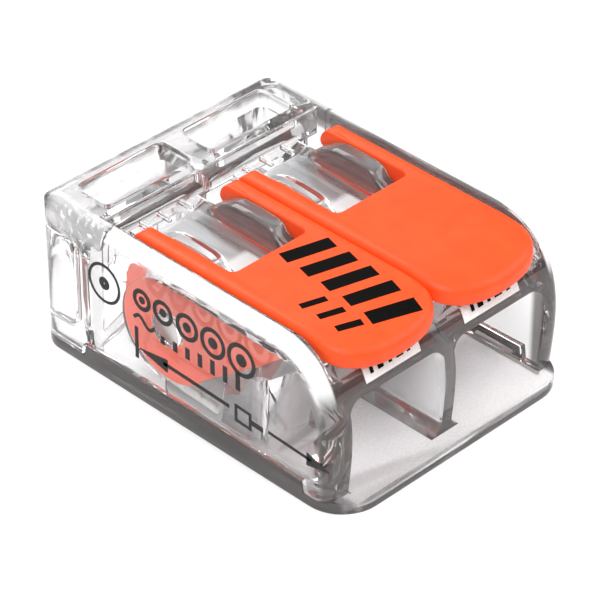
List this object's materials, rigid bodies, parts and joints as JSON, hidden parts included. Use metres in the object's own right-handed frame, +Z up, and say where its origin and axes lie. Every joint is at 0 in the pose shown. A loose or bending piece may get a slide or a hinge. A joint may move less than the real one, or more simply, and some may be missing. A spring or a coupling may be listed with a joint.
{
  "type": "lever wire connector",
  "caption": "Clear block that joins stripped wires side by side, with lift-up levers that open its spring clamps.",
  "frame": {"origin": "centre of the underside's bounding rectangle, on the surface it stands on", "axes": "+X across the wire entries, +Y away from the wire-entry side, +Z up through the levers"},
  "size_m": [0.016, 0.021, 0.0087],
  "materials": {
    "clear_housing": "clear moulded polycarbonate, polished",
    "clear_cover": "clear moulded polycarbonate, lightly frosted floor",
    "orange_lever": "satin moulded plastic",
    "spring_steel": "bright rolled strip",
    "tinned_copper": "tin plated, stamped"
  },
  "bodies": {
    "housing": {"housing_shell": "clear_housing", "base_cover": "clear_cover", "busbar": "tinned_copper", "spring_left_holding_leg": "spring_steel", "spring_right_holding_leg": "spring_steel"},
    "lever_left": {"lever_left": "orange_lever"},
    "lever_right": {"lever_right": "orange_lever"},
    "spring_left": {"spring_left_clamping_leg": "spring_steel"},
    "spring_right": {"spring_right_clamping_leg": "spring_steel"}
  },
  "joints": [
    {"name": "lever_left_hinge", "type": "hinge", "parent": "housing", "child": "lever_left", "pos_m": [-0.00345, 0.0017, 0.00455], "axis": [-1, 0, 0], "range_deg": [0, 85]},
    {"name": "lever_right_hinge", "type": "hinge", "parent": "housing", "child": "lever_right", "pos_m": [0.00345, 0.0017, 0.00455], "axis": [-1, 0, 0], "range_deg": [0, 85]},
    {"name": "spring_left_flex", "type": "hinge", "parent": "housing", "child": "spring_left", "pos_m": [-0.00345, -0.0006, 0.0056], "axis": [1, 0, 0], "range_deg": [0, 40]},
    {"name": "spring_right_flex", "type": "hinge", "parent": "housing", "child": "spring_right", "pos_m": [0.00345, -0.0006, 0.0056], "axis": [1, 0, 0], "range_deg": [0, 40]}
  ],
  "couplings": [
    {"joint": "spring_left_flex", "follows": "lever_left_hinge", "ratio": 0.47059},
    {"joint": "spring_right_flex", "follows": "lever_right_hinge", "ratio": 0.47059}
  ]
}
